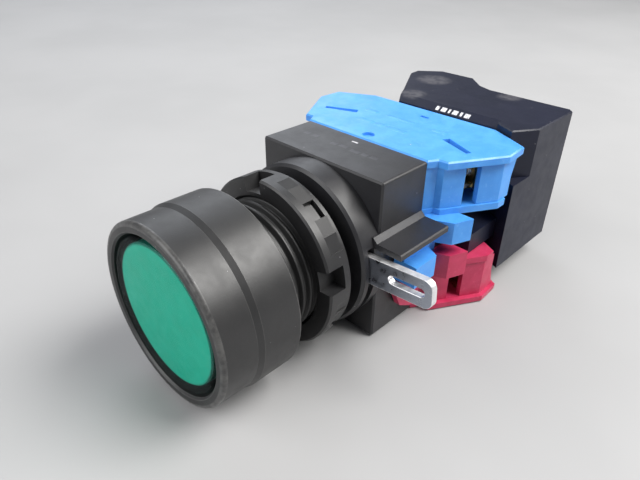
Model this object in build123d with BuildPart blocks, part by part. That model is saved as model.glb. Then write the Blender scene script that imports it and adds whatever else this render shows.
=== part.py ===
# Panel-mounted illuminated push button, 22 mm barrel, with contact blocks and a lamp transformer.
# Millimetres. The button's axis is Y: the operator faces -Y and is pressed towards +Y.
# y = 0 is the rear face of the bezel, which seats on the panel; +Z is up, +X is right seen from the front.
import os
from math import cos, sin, radians, hypot

from build123d import *

os.makedirs("parts", exist_ok=True)

# ---------------------------------------------------------------- driving dimensions
barrel_r = 10.95          # thread crest radius, for the standard 22.3 mm panel hole
root_r = 10.15            # thread root radius
pitch = 1.5               # thread pitch
thread_start = 1.2        # plain land behind the bezel, where the panel sits
thread_turns = 7
barrel_tail_r = 10.6      # plain tail that enters the adaptor
barrel_end = 17.3
bezel_r = 14.6
bezel_neck_r = 14.25
bezel_front = -13.1
cup_r = 12.45
bore_r = 9.3

stroke = 4.5              # button travel
lens_r = 12.2
lens_front = -12.9
lens_wall = 0.45                      # thin face, so the filter lies close behind it
filter_r = 11.0
collar_r = 9.2
tube_r = 7.3
tube_bore_r = 6.5
tube_end = 24.0

nut_front, nut_rear, nut_flange_rear = 6.3, 10.3, 11.0
nut_r = 14.16
nut_bore_r = 11.0
notch_angle = 11.0        # centre of the first spanner notch, from +X towards +Z
notch_width = 15.5        # degrees
notch_floor_r = 11.9
notch_back = 9.4

boss_front, boss_rear = 13.48, 17.87
boss_r = 14.15
box_x, box_z, box_rear = 13.15, 14.5, 28.8
adaptor_bore_r = 8.9
wing_x, wing_top, wing_under, wing_front = 18.5, 5.2, 4.2, 16.45

lever_front, lever_rear = 15.0, 16.2
lever_angle = 4.6
lever_reach = 25.4
lever_w = 4.8

block_in, block_out = 4.8, 14.7      # height range of a contact block, from the axis
cover_t = 1.2
plate_t = 1.3
block_front = 28.9
contact_gap = 3.15

case_top, case_bottom, notch_z = 15.86, -10.4, 6.9
post_r = 5.9

SIDE = 30.0                           # terminals splay 30 degrees
ux, uy = sin(radians(SIDE)), cos(radians(SIDE))      # along a right-hand terminal screw
vx, vy = cos(radians(SIDE)), -sin(radians(SIDE))     # outwards across it
screw_o = (11.30, 33.25)              # start of the right-hand screw axis in plan
block_mid = 9.75                      # height of the contacts
term_mid = 10.5                       # height of the terminal screws
term_v = -0.9                         # the screws stand this far inwards of the terminal line


def term(u, v=0.0):
    """Plan point at u along and v across the right-hand terminal screw."""
    return (screw_o[0] + u * ux + v * vx, screw_o[1] + u * uy + v * vy)


def both(points):
    """Closed symmetric outline from the points of its +X half, given from front to rear."""
    return points + [(-x, y) for x, y in reversed(points)]


def band(points, t):
    """Outline of a bent strip of thickness t along a plan path."""
    left, right = [], []
    for i, (x, y) in enumerate(points):
        dirs = []
        if i > 0:
            dx, dy = x - points[i - 1][0], y - points[i - 1][1]
            dirs.append((dx / hypot(dx, dy), dy / hypot(dx, dy)))
        if i < len(points) - 1:
            dx, dy = points[i + 1][0] - x, points[i + 1][1] - y
            dirs.append((dx / hypot(dx, dy), dy / hypot(dx, dy)))
        nx = sum(-d[1] for d in dirs)
        ny = sum(d[0] for d in dirs)
        n = hypot(nx, ny)
        nx, ny = nx / n, ny / n
        k = t / 2 / (nx * -dirs[0][1] + ny * dirs[0][0])
        left.append((x + nx * k, y + ny * k))
        right.append((x - nx * k, y - ny * k))
    return left + right[::-1]


def ring_points(r_in, r_out, a0, a1, steps=8):
    """Closed outline of a ring sector from angle a0 to a1, in degrees from +X towards +Z."""
    out = []
    for i in range(steps + 1):
        a = radians(a0 + (a1 - a0) * i / steps)
        out.append((r_out * cos(a), r_out * sin(a)))
    for i in range(steps + 1):
        a = radians(a1 + (a0 - a1) * i / steps)
        out.append((r_in * cos(a), r_in * sin(a)))
    return out


# a plane square to the button's axis at height y: local x is +X, local y is +Z, and it extrudes towards -Y
def cross(y):
    return Plane(origin=(0, y, 0), x_dir=(1, 0, 0), z_dir=(0, -1, 0))


def save(builder, label):
    part = builder.part if hasattr(builder, "part") else builder
    part.label = label
    export_step(part, "parts/" + label + ".step")


# ---------------------------------------------------------------- bezel with its threaded barrel
thread = []
for i in range(thread_turns):
    y0 = thread_start + i * pitch
    thread += [(root_r, y0 + 0.32), (root_r, y0 + 0.62), (barrel_r, y0 + 1.02), (barrel_r, y0 + 1.34)]
thread_end = thread_start + thread_turns * pitch

with BuildPart() as bezel:
    with BuildSketch(Plane.XY) as s:
        with BuildLine():
            Polyline(
                [(12.75, bezel_front), (13.55, bezel_front)]
            )
            RadiusArc((13.55, bezel_front), (bezel_neck_r, bezel_front + 0.7), -0.7)
            Polyline(
                [
                    (bezel_neck_r, bezel_front + 0.7),
                    (bezel_neck_r, -7.48),
                    (bezel_r, -6.55),
                    (bezel_r, -0.25),
                    (bezel_r - 0.25, 0),
                    (13.6, 0),
                    (13.6, -1.0),
                    (11.4, -1.0),
                    (11.4, 0),
                    (barrel_r, 0),
                    (barrel_r, thread_start),
                ]
                + thread
                + [
                    (barrel_tail_r, thread_end + 0.1),
                    (barrel_tail_r, barrel_end - 0.3),
                    (barrel_tail_r - 0.3, barrel_end),
                    (7.4, barrel_end),
                    (7.4, barrel_end - 2.0),
                    (bore_r, barrel_end - 2.0),
                    (bore_r, -1.6),
                    (cup_r, -1.6),
                    (cup_r, bezel_front + 0.3),
                    (12.75, bezel_front),
                ]
            )
        make_face()
    revolve(axis=Axis.Y)
save(bezel, "bezel")

# ---------------------------------------------------------------- rubber gasket in the bezel's rear groove
with BuildPart() as panel_gasket:
    with BuildSketch(Plane.XY) as s:
        with BuildLine():
            Polyline([(11.45, -0.98), (13.55, -0.98), (13.55, -0.2), (13.1, 0), (11.9, 0), (11.45, -0.2)], close=True)
        make_face()
    revolve(axis=Axis.Y)
save(panel_gasket, "panel_gasket")

# ---------------------------------------------------------------- button: clear lens cap, green filter, white diffuser
with BuildPart() as lens_cap:
    with BuildSketch(Plane.XY) as s:
        with BuildLine():
            Line((0, lens_front), (11.2, lens_front))
            RadiusArc((11.2, lens_front), (lens_r, lens_front + 1.0), -1.0)
            Polyline(
                [
                    (lens_r, lens_front + 1.0),
                    (lens_r, -8.4),
                    (11.4, -8.4),
                    (11.4, lens_front + lens_wall),
                    (0, lens_front + lens_wall),
                    (0, lens_front),
                ]
            )
        make_face()
    revolve(axis=Axis.Y)
save(lens_cap, "lens_cap")

with BuildPart() as colour_filter:
    with BuildSketch(cross(lens_front + 2.0)):
        Circle(filter_r)
    extrude(amount=1.5)
    chamfer(colour_filter.edges().filter_by(GeomType.CIRCLE).group_by(Axis.Y)[0], 0.2)
save(colour_filter, "colour_filter")

with BuildPart() as diffuser_plate:
    with BuildSketch(cross(-9.6)):
        Circle(filter_r)
    extrude(amount=1.25)
    with BuildSketch(cross(-9.6)):
        Circle(9.6)
    extrude(amount=0.5, mode=Mode.SUBTRACT)
save(diffuser_plate, "diffuser_plate")

# button body: tray that carries the lens, guide collar with an O-ring groove, and the long push tube
with BuildPart() as button_plunger:
    with BuildSketch(Plane.XY) as s:
        with BuildLine():
            Polyline(
                [
                    (8.2, -9.55),
                    (11.3, -9.55),
                    (11.3, -8.35),
                    (lens_r, -8.35),
                    (lens_r, -6.3),
                    (collar_r, -6.3),
                    (collar_r, -0.02),
                    (8.2, -0.02),
                    (8.2, 1.22),
                    (collar_r, 1.22),
                    (collar_r, 2.0),
                    (tube_r, 2.0),
                    (tube_r, tube_end),
                    (tube_bore_r, tube_end),
                    (tube_bore_r, -1.0),
                    (7.4, -1.9),
                    (7.4, -7.2),
                    (8.2, -8.0),
                ],
                close=True,
            )
        make_face()
    revolve(axis=Axis.Y)
save(button_plunger, "button_plunger")

with BuildPart() as plunger_seal:
    with BuildSketch(Plane.XY) as s:
        with Locations((8.73, 0.6)):
            Circle(0.5)
    revolve(axis=Axis.Y)
save(plunger_seal, "plunger_seal")


def coil(y0, y1, turns, r, wire, x=0.0, z=0.0):
    """Compression spring along Y between y0 and y1, its wire ends kept clear of both seats."""
    a, b = y0 + wire + 0.12, y1 - wire - 0.12
    path = Helix(pitch=(b - a) / turns, height=b - a, radius=r, center=(x, a, z), direction=(0, 1, 0))
    with BuildPart() as spring:
        with BuildLine():
            add(path)
        with BuildSketch(Plane(origin=path @ 0, z_dir=path % 0)):
            Circle(wire)
        sweep(is_frenet=True)
    return spring.part


save(coil(2.0, barrel_end - 2.0, 6, 8.35, 0.35), "return_spring")

# ---------------------------------------------------------------- ring nut with four spanner notches
with BuildPart() as ring_nut:
    with BuildSketch(Plane.XY) as s:
        with BuildLine():
            Polyline(
                [
                    (nut_bore_r + 0.35, nut_front),
                    (nut_r - 0.3, nut_front),
                    (nut_r, nut_front + 0.3),
                    (nut_r, nut_rear),
                    (13.75, nut_rear),
                    (13.75, nut_flange_rear),
                    (nut_bore_r + 0.35, nut_flange_rear),
                    (nut_bore_r, nut_flange_rear - 0.35),
                    (nut_bore_r, nut_front + 0.35),
                ],
                close=True,
            )
        make_face()
    revolve(axis=Axis.Y)
    with BuildSketch(cross(notch_back)):
        for k in range(4):
            a = notch_angle + 90 * k
            Polygon(*ring_points(notch_floor_r, nut_r + 0.6, a - notch_width / 2, a + notch_width / 2), align=None)
    extrude(amount=notch_back - nut_front + 1, mode=Mode.SUBTRACT)
    # relief windows and shallow grip steps round the rear half of the rim
    with BuildSketch(cross(nut_rear)):
        for k in range(4):
            Polygon(*ring_points(12.9, nut_r + 0.6, 49.5 + 90 * k, 62.5 + 90 * k), align=None)
    extrude(amount=1.25, mode=Mode.SUBTRACT)
    with BuildSketch(cross(nut_rear)):
        for k in range(4):
            Polygon(*ring_points(12.9, nut_r + 0.6, 59.3 + 90 * k, 62.5 + 90 * k, 2), align=None)
    extrude(amount=2.45, mode=Mode.SUBTRACT)
    with BuildSketch(cross(nut_rear)):
        for k in range(4):
            for a0, a1 in ((27.3, 38.4), (38.4, 49.5), (62.5, 75.0), (75.0, 84.2)):
                b0, b1 = radians(a0 + 90 * k), radians(a1 + 90 * k)
                c = nut_r + 0.5
                Polygon(
                    (13.85 * cos(b0), 13.85 * sin(b0)),
                    (c * cos(b0), c * sin(b0)),
                    (c * cos((b0 + b1) / 2) / cos((b1 - b0) / 2), c * sin((b0 + b1) / 2) / cos((b1 - b0) / 2)),
                    (c * cos(b1), c * sin(b1)),
                    ((nut_r - 0.02) * cos(b1), (nut_r - 0.02) * sin(b1)),
                    align=None,
                )
    extrude(amount=2.5, mode=Mode.SUBTRACT)
save(ring_nut, "ring_nut")

# ---------------------------------------------------------------- mounting adaptor
with BuildPart() as adaptor_housing:
    with BuildSketch(cross(box_rear)):
        Rectangle(2 * box_x, 2 * box_z)
    extrude(amount=box_rear - boss_rear)
    fillet(adaptor_housing.edges().filter_by(Axis.Y), 0.5)
    chamfer(adaptor_housing.faces().sort_by(Axis.Y)[0].edges(), 0.3)
    with BuildSketch(cross(boss_rear + 0.5)):
        Circle(boss_r)
    extrude(amount=boss_rear + 0.5 - boss_front)
    chamfer(adaptor_housing.edges().filter_by(GeomType.CIRCLE).group_by(Axis.Y)[0], 0.45)
    # wing that shelters the lever and one block's latch
    with BuildSketch(cross(box_rear)):
        Polygon(
            (box_x - 1.0, 6.0), (box_x, 6.0), (box_x + 0.8, wing_top), (wing_x - 0.2, wing_top), (wing_x, wing_top - 0.2),
            (wing_x, wing_under), (box_x - 1.0, wing_under), align=None,
        )
    extrude(amount=box_rear - wing_front)
    # barrel socket, then the passage for the push tube and the block plungers
    with BuildSketch(cross(barrel_end + 0.1)):
        Circle(barrel_tail_r + 0.08)
    extrude(amount=6, mode=Mode.SUBTRACT)
    with BuildSketch(cross(box_rear)):
        Circle(adaptor_bore_r)
    extrude(amount=12, mode=Mode.SUBTRACT)
    # hollow corners, open at the rear
    with BuildSketch(cross(box_rear)):
        Rectangle(2 * box_x - 3.0, 2 * box_z - 3.0)
        Circle(10.2, mode=Mode.SUBTRACT)
    extrude(amount=8.8, mode=Mode.SUBTRACT)
    # annular slot of the locking lever, and the window that its arm sweeps
    with BuildSketch(cross(lever_rear + 0.12)):
        Circle(13.1)
    extrude(amount=lever_rear - lever_front + 0.24, mode=Mode.SUBTRACT)
    with BuildSketch(cross(lever_rear + 0.12)):
        Polygon(*ring_points(12.5, boss_r + 0.6, lever_angle - 66, lever_angle + 14, 12), align=None)
    extrude(amount=lever_rear - lever_front + 0.24, mode=Mode.SUBTRACT)
save(adaptor_housing, "adaptor_housing")

# ---------------------------------------------------------------- locking lever, a stamped metal ring with an arm
with BuildPart() as locking_lever:
    lever_plane = Plane(
        origin=(0, lever_rear, 0),
        x_dir=(cos(radians(lever_angle)), 0, sin(radians(lever_angle))),
        z_dir=(0, -1, 0),
    )
    with BuildSketch(lever_plane) as s:
        Circle(12.9)
        with Locations(((12 + lever_reach) / 2, 0)):
            Rectangle(lever_reach - 12, lever_w)
        fillet(s.vertices().group_by(Axis.X)[-1], 1.5)
        Circle(barrel_tail_r + 0.1, mode=Mode.SUBTRACT)
        with Locations((20.85, 0)):
            SlotOverall(6.5, 1.5, mode=Mode.SUBTRACT)
    extrude(amount=lever_rear - lever_front)
save(locking_lever, "locking_lever")

# ---------------------------------------------------------------- contact block, drawn as the upper one
outline = both([(box_x, block_front), (14.1, 30.6), (15.8, 30.65), (21.3, 40.15), (21.0, 45.3), (13.8, 49.05)])
walls = both([(12.9, block_front), (13.8, 31.0), (14.9, 31.3), (20.4, 40.5), (20.4, 44.8), (13.6, 48.6)])
inner = both([(11.7, block_front + 1.1), (12.7, 32.0), (14.0, 32.4), (19.2, 41.0), (19.2, 42.3), (12.0, 46.4), (11.6, 47.5)])
cover_outline = both([(box_x, block_front), (14.0, 30.8), (15.2, 31.0), (20.7, 40.4), (20.7, 42.5), (13.3, 46.6), (13.2, 48.85)])


def terminals():
    """The two splayed terminal frames of a block: plan origin, along and across directions."""
    return [(1, term), (-1, lambda u, v=0.0: (-term(u, v)[0], term(u, v)[1]))]


with BuildPart() as housing:
    with BuildSketch(Plane.XY.offset(block_out - plate_t)):
        Polygon(*outline, align=None)
    extrude(amount=plate_t)
    chamfer(housing.faces().sort_by(Axis.Z)[-1].edges(), 0.25)
    with BuildSketch(Plane.XY.offset(block_in + cover_t + 0.05)):
        Polygon(*walls, align=None)
    extrude(amount=block_out - plate_t - block_in - cover_t)
    with BuildSketch(Plane.XY.offset(block_in + cover_t)):
        Polygon(*inner, align=None)
        # partitions beside the contact chamber
        for s in (1, -1):
            with Locations((s * 9.6, 46.0)):
                Rectangle(0.9, 3.2, mode=Mode.SUBTRACT)
    extrude(amount=13.3 - block_in - cover_t, mode=Mode.SUBTRACT)
    for s, t in terminals():
        # wire entry window in the splayed side
        with BuildSketch(Plane.XY.offset(block_in + cover_t)):
            Polygon(t(4.0, 2.6), t(6.75, 2.6), t(6.75, 6.5), t(4.0, 6.5), align=None)
        extrude(amount=13.3 - block_in - cover_t, mode=Mode.SUBTRACT)
        # test slot in the outer plate, open on the right and a blind groove on the left
        with BuildSketch(Plane.XY.offset(13.0 if s > 0 else block_out - 0.5)):
            Polygon(t(3.4, -3.9), t(4.8, -3.9), t(5.4, 2.6), t(4.4, 2.6), align=None)
        extrude(amount=3.0, mode=Mode.SUBTRACT)
        # the splayed rear wall leans in towards the cover
        wedge = Plane(origin=(s * 17.0, 46.7, block_out - plate_t), x_dir=(s * 0.488, 0.873, 0), z_dir=(0.873, -s * 0.488, 0))
        with BuildSketch(wedge):
            Polygon((0.0, 0.0), (-1.75, -7.4), (4.0, -7.4), (4.0, 0.0), align=None)
        extrude(amount=4.4, both=True, mode=Mode.SUBTRACT)
        # screwdriver hole in the splayed rear
        o = t(11.0, term_v)
        with BuildSketch(Plane(origin=(o[0], o[1], term_mid), z_dir=(s * ux, uy, 0))):
            Circle(2.35)
        extrude(amount=8.0, mode=Mode.SUBTRACT)
    # guide of the plunger's nose
    with BuildSketch(Plane.XY.offset(block_in + cover_t)):
        with Locations((0, block_front)):
            Rectangle(3.0, 5.0)
    extrude(amount=8.75 - block_in - cover_t, mode=Mode.SUBTRACT)
    # locating notch and dimple on the outer face
    with BuildSketch(Plane.XY.offset(block_out - 0.5)):
        with Locations((0.95, 45.3)):
            Rectangle(1.8, 0.7)
        with Locations((-0.65, 30.9)):
            Circle(1.1)
    extrude(amount=1.0, mode=Mode.SUBTRACT)

with BuildPart() as cover:
    with BuildSketch(Plane.XY.offset(block_in)):
        Polygon(*cover_outline, align=None)
    extrude(amount=cover_t)
    # latch root beside the centre column
    with BuildSketch(Plane.XY.offset(0.9)):
        Polygon((13.45, block_front), (15.4, block_front), (18.6, 30.5), (19.95, 34.05), (14.4, 34.05), (13.45, 32.0), align=None)
    extrude(amount=block_in - 0.9 + 0.2)
    # latch arm that runs forward under the adaptor's wing, with its thumb tab
    with BuildSketch(Plane.XY.offset(-3.0)):
        Polygon((13.45, 22.0), (15.4, 22.0), (15.4, 30.6), (13.45, 30.6), align=None)
    extrude(amount=wing_under - 0.15 + 3.0)
    with BuildSketch(Plane.XY.offset(-4.0)):
        Polygon((13.45, 21.9), (17.9, 21.9), (17.9, 27.4), (15.4, 28.6), (13.45, 28.6), align=None)
    extrude(amount=4.0)
    # second latch on the other side, lying along the adaptor's flank
    with BuildSketch(Plane(origin=(-13.4, 0, 0), x_dir=(0, 1, 0), z_dir=(-1, 0, 0))):
        Polygon((21.4, -6.0), (23.4, -10.0), (26.2, -11.6), (28.8, -12.4), (28.8, -5.0), (22.4, -5.0), align=None)
    extrude(amount=1.1)
    with BuildSketch(Plane.XY.offset(block_in)):
        Polygon((-13.4, 26.0), (-14.5, 26.0), (-14.5, 28.9), (-15.2, 30.2), (-15.2, 31.2), (-13.4, 31.2), align=None)
    extrude(amount=cover_t)
    # its root stands down past the cover, clear of the other block's latch arm
    with BuildSketch(Plane.XY.offset(1.3)):
        Polygon((-15.55, 29.3), (-18.6, 30.5), (-19.95, 34.05), (-15.55, 34.05), align=None)
    extrude(amount=block_in + cover_t - 1.3)

with BuildPart() as plunger:
    with BuildSketch(Plane.XY.offset(6.2)):
        with Locations((0, (24.05 + 31.5) / 2)):
            Rectangle(2.8, 31.5 - 24.05)
    extrude(amount=2.4)
    with BuildSketch(Plane.XY.offset(6.3)):
        with Locations((0, (31.0 + 42.9) / 2)):
            Rectangle(5.2, 42.9 - 31.0)
    extrude(amount=6.6)
    with BuildSketch(cross(42.9)):
        with Locations((0, block_mid)):
            Circle(1.7)
    extrude(amount=2.9, mode=Mode.SUBTRACT)
no_plunger_body = plunger.part


def windowed(y0, y1, label):
    """Plunger with the cross window that carries its contact bridge."""
    with BuildPart() as p:
        add(no_plunger_body)
        with BuildSketch(Plane.XY.offset(7.6)):
            with Locations((0, (y0 + y1) / 2)):
                Rectangle(8, y1 - y0)
        extrude(amount=4.3, mode=Mode.SUBTRACT)
    return p.part


def bridge(y_strip, tips_to):
    """Spring-carried contact bridge: a strip across the window with a silver tip at each end."""
    with BuildPart() as b:
        with BuildSketch(Plane.XY.offset(block_mid - 1.8)):
            with Locations((0, y_strip + 0.4)):
                Rectangle(14.0, 0.8)
        extrude(amount=3.6)
        with BuildSketch(cross(max(y_strip + 0.4, tips_to))):
            with Locations((5.5, block_mid), (-5.5, block_mid)):
                Circle(1.45)
        extrude(amount=abs(tips_to - y_strip - 0.4))
    return b.part


def fixed(path, tip_from, tip_to, nut_u=7.45):
    """Pair of fixed contacts: a bent strip to the terminal, a clamp plate square to the screw, and a silver tip."""
    pieces = []
    for s, t in terminals():
        run = [(s * x, y) for x, y in path] + [t(nut_u, term_v - 2.9), t(nut_u, term_v + 2.7)]
        shape = band(run, 0.8)
        with BuildPart() as f:
            with BuildSketch(Plane.XY.offset(block_mid - 1.8)):
                Polygon(*shape, align=None)
            extrude(amount=3.6)
            plate = [t(nut_u + a, term_v + b) for a, b in ((-0.4, -2.7), (-0.4, 2.7), (0.4, 2.7), (0.4, -2.7))]
            with BuildSketch(Plane.XY.offset(term_mid - 2.7)):
                Polygon(*plate, align=None)
            extrude(amount=5.4)
            lip = [t(nut_u + a, term_v + b) for a, b in ((-3.4, -2.2), (-3.4, 2.4), (0.4, 2.4), (0.4, -2.2))]
            with BuildSketch(Plane.XY.offset(term_mid - 2.7)):
                Polygon(*lip, align=None)
            extrude(amount=0.7)
            o = t(nut_u - 3.0, term_v)
            with BuildSketch(Plane(origin=(o[0], o[1], term_mid), z_dir=(s * ux, uy, 0))):
                Circle(1.8)
            extrude(amount=6, mode=Mode.SUBTRACT)
            with BuildSketch(cross(max(tip_from, tip_to))):
                with Locations((s * 5.5, block_mid)):
                    Circle(1.45)
            extrude(amount=abs(tip_to - tip_from))
        pieces.append(f.part)
    return Compound(children=pieces)


def screws():
    """Terminal screws M3.5 with slotted pan heads, and their square clamp washers."""
    screw_pieces, washer_pieces = [], []
    for s, t in terminals():
        zdir = (s * ux, uy, 0)
        o = t(2.9, term_v)
        with BuildPart() as sc:
            with BuildSketch(Plane(origin=(o[0], o[1], term_mid), z_dir=zdir)):
                Circle(1.72)
            extrude(amount=6.9)
            h = t(9.35, term_v)
            with BuildSketch(Plane(origin=(h[0], h[1], term_mid), z_dir=zdir)):
                Circle(2.7)
            extrude(amount=2.0)
            k = t(10.7, term_v)
            with BuildSketch(Plane(origin=(k[0], k[1], term_mid), x_dir=(0, 0, 1), z_dir=zdir)):
                Rectangle(6.0, 0.8)
                Rectangle(0.8, 6.0)
            extrude(amount=2.0, mode=Mode.SUBTRACT)
        screw_pieces.append(sc.part)
        w = t(8.35, term_v)
        with BuildPart() as wa:
            with BuildSketch(Plane(origin=(w[0], w[1], term_mid), x_dir=(0, 0, 1), z_dir=zdir)):
                Rectangle(5.4, 5.4)
                Circle(1.8, mode=Mode.SUBTRACT)
            extrude(amount=0.9)
        washer_pieces.append(wa.part)
    return Compound(children=screw_pieces), Compound(children=washer_pieces)


# fixed contacts sit behind the bridge in the normally-open block and in front of it in the normally-closed one
no_path = [(3.7, 42.7), (11.0, 42.7)]
nc_path = [(3.7, 33.2), (8.4, 33.2), (8.4, 39.6)]
no_fixed = fixed(no_path, 41.98, 42.5)
nc_fixed = fixed(nc_path, 33.4, 34.0)
screw_set, washer_set = screws()

no_parts = {
    "no_housing": housing.part,
    "no_cover": cover.part,
    "no_plunger": windowed(33.6, 38.5, "no"),
    "no_bridge": bridge(37.6, 38.8),
    "no_contact_spring": coil(33.6, 37.6, 4, 1.3, 0.18, 0, block_mid),
    "no_return_spring": coil(40.0, 47.5, 7, 1.25, 0.2, 0, block_mid),
    "no_fixed_contacts": no_fixed,
    "no_terminal_screws": screw_set,
    "no_clamp_washers": washer_set,
}
nc_parts = {
    "nc_housing": housing.part,
    "nc_cover": cover.part,
    "nc_plunger": windowed(34.3, 38.5, "nc"),
    "nc_bridge": bridge(34.4, 34.03),
    "nc_contact_spring": coil(35.2, 38.5, 4, 1.3, 0.18, 0, block_mid),
    "nc_return_spring": coil(40.0, 47.5, 7, 1.25, 0.2, 0, block_mid),
    "nc_fixed_contacts": nc_fixed,
    "nc_terminal_screws": screw_set,
    "nc_clamp_washers": washer_set,
}
for label, shape in no_parts.items():
    save(Rot(0, 0, 0) * shape, label)
# the lower block is the same moulding turned half round the axis
for label, shape in nc_parts.items():
    save(Rot(0, 180, 0) * shape, label)

# ---------------------------------------------------------------- lamp transformer between and behind the blocks
with BuildPart() as transformer_base:
    with BuildSketch(Plane.XY.offset(-4.6)):
        with Locations((0, (28.82 + 49.36) / 2)):
            Rectangle(25.2, 49.36 - 28.82)
    extrude(amount=9.2)
    with BuildSketch(Plane.XY.offset(-4.6)):
        Polygon((12.0, 38.1), (17.9, 38.1), (17.9, 46.9), (13.6, 49.2), (12.0, 49.2), align=None)
        Polygon((-12.0, 38.1), (-17.9, 38.1), (-17.9, 46.9), (-13.6, 49.2), (-12.0, 49.2), align=None)
    extrude(amount=3.8)
    # front plate of the case
    with BuildSketch(cross(50.6)):
        with Locations((2.6, 2.7)):
            Rectangle(20.0, 22.9)
    extrude(amount=1.2)
    # hollow for the wiring, and the lamp post
    with BuildSketch(cross(50.7)):
        Rectangle(22.0, 6.4)
    extrude(amount=18.0, mode=Mode.SUBTRACT)
    with BuildSketch(cross(28.86)):
        Circle(post_r)
    extrude(amount=28.86 - 11.0)
    with BuildSketch(cross(29.5)):
        Circle(5.0)
    extrude(amount=20.0, mode=Mode.SUBTRACT)
save(transformer_base, "transformer_base")

right_top = [(20.3, 51.9), (20.3, 65.3), (19.5, 66.1)]
rear_bump = [(2.6, 66.1), (-0.4, 67.3), (-4.4, 71.1), (-12.4, 71.1), (-16.8, 67.4), (-16.6, 64.6)]
left_front = [(-10.65, 54.1), (-8.2, 49.4), (13.6, 49.4)]
top_outline = right_top + rear_bump + left_front + [(17.4, 47.4)]
low_outline = [(20.3, 65.3), (19.5, 66.1)] + rear_bump + left_front + [(20.3, 45.95)]
cavity = [(18.9, 64.7), (2.2, 64.7), (-1.2, 66.1), (-5.0, 69.7), (-11.9, 69.7), (-15.4, 66.7), (-15.2, 65.0),
          (-9.3, 54.6), (-7.45, 50.7), (-7.45, 49.0), (12.65, 49.0), (12.65, 50.7), (16.2, 49.9), (18.9, 53.6)]
with BuildPart() as transformer_case:
    with BuildSketch(Plane.XY.offset(case_bottom)):
        Polygon(*low_outline, align=None)
    extrude(amount=case_top - case_bottom)
    with BuildSketch(Plane.XY.offset(notch_z)):
        Polygon((17.4, 47.4), (20.3, 51.9), (22.0, 51.9), (22.0, 44.0), (16.0, 44.0), align=None)
    extrude(amount=20, mode=Mode.SUBTRACT)
    chamfer(transformer_case.faces().sort_by(Axis.Z)[-1].edges(), 0.22)
    # sloped brow over the blocks
    with BuildSketch(Plane(origin=(-13, 0, 0), x_dir=(0, 1, 0), z_dir=(1, 0, 0))):
        Polygon((48.0, 14.78), (49.4, 14.78), (51.0, case_top + 0.01), (51.0, case_top + 1.0), (48.0, case_top + 1.0), align=None)
    extrude(amount=26.6, mode=Mode.SUBTRACT)
    with BuildSketch(Plane.XY.offset(-8.8)):
        Polygon(*cavity, align=None)
    extrude(amount=14.3 + 8.8, mode=Mode.SUBTRACT)
    # the two supply terminals open in the rear face
    with BuildSketch(cross(72.0)):
        with Locations((-8.4, 9.0), (-8.4, -1.0)):
            Circle(2.9)
    extrude(amount=3.5, mode=Mode.SUBTRACT)
save(transformer_case, "transformer_case")

leg_x, leg_y0, leg_y1 = 7.0, 54.6, 60.6
core_cx, core_z0, core_z1 = 4.5, -6.6, 12.4
with BuildPart() as transformer_core:
    with BuildSketch(cross(leg_y1)):
        with Locations((core_cx, (core_z0 + core_z1) / 2)):
            Rectangle(23.0, core_z1 - core_z0)
            with Locations((5.75, 0), (-5.75, 0)):
                Rectangle(4.5, 12.0, mode=Mode.SUBTRACT)
    extrude(amount=leg_y1 - leg_y0)
save(transformer_core, "transformer_core")

bob_z = (core_z0 + core_z1) / 2
with BuildPart() as coil_bobbin:
    with BuildSketch(Plane.XY.offset(bob_z - 5.9)):
        with Locations((core_cx, (leg_y0 + leg_y1) / 2)):
            Rectangle(leg_x + 1.5, leg_y1 - leg_y0 + 1.5)
    extrude(amount=11.8)
    for z in (bob_z - 5.9, bob_z + 5.2):
        with BuildSketch(Plane.XY.offset(z)):
            with Locations((core_cx, (leg_y0 + leg_y1) / 2)):
                Rectangle(leg_x + 7.2, leg_y1 - leg_y0 + 7.2)
        extrude(amount=0.7)
    with BuildSketch(Plane.XY.offset(bob_z - 6.5)):
        with Locations((core_cx, (leg_y0 + leg_y1) / 2)):
            Rectangle(leg_x + 0.1, leg_y1 - leg_y0 + 0.1)
    extrude(amount=13.0, mode=Mode.SUBTRACT)
save(coil_bobbin, "coil_bobbin")

with BuildPart() as transformer_coil:
    with BuildSketch(Plane.XY.offset(bob_z - 5.15)):
        with Locations((core_cx, (leg_y0 + leg_y1) / 2)):
            RectangleRounded(leg_x + 6.6, leg_y1 - leg_y0 + 6.6, 2.2)
            Rectangle(leg_x + 1.6, leg_y1 - leg_y0 + 1.6, mode=Mode.SUBTRACT)
    extrude(amount=10.3)
save(transformer_coil, "transformer_coil")

# lamp in its socket at the front of the post
with BuildPart() as lamp_socket:
    with BuildSketch(Plane.XY) as s:
        with BuildLine():
            Polyline([(4.95, 9.2), (4.95, 27.0), (1.2, 27.0), (1.2, 26.4), (4.68, 26.4), (4.68, 9.2)], close=True)
        make_face()
    revolve(axis=Axis.Y)
save(lamp_socket, "lamp_socket")

with BuildPart() as lamp_base:
    with BuildSketch(Plane.XY) as s:
        with BuildLine():
            Polyline([(0, 7.0), (4.6, 7.0), (4.6, 16.5), (3.4, 18.0), (1.4, 18.0), (1.4, 18.9), (0, 18.9)], close=True)
        make_face()
    revolve(axis=Axis.Y)
save(lamp_base, "lamp_base")

with BuildPart() as lamp_globe:
    with BuildSketch(Plane.XY) as s:
        with BuildLine():
            Polyline([(0, -1.6), (0, 6.98), (4.4, 6.98), (4.4, 2.8)])
            ThreePointArc((4.4, 2.8), (4.4 * cos(radians(45)), 2.8 - 4.4 * sin(radians(45))), (0, -1.6))
        make_face()
    revolve(axis=Axis.Y)
save(lamp_globe, "lamp_globe")

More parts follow.
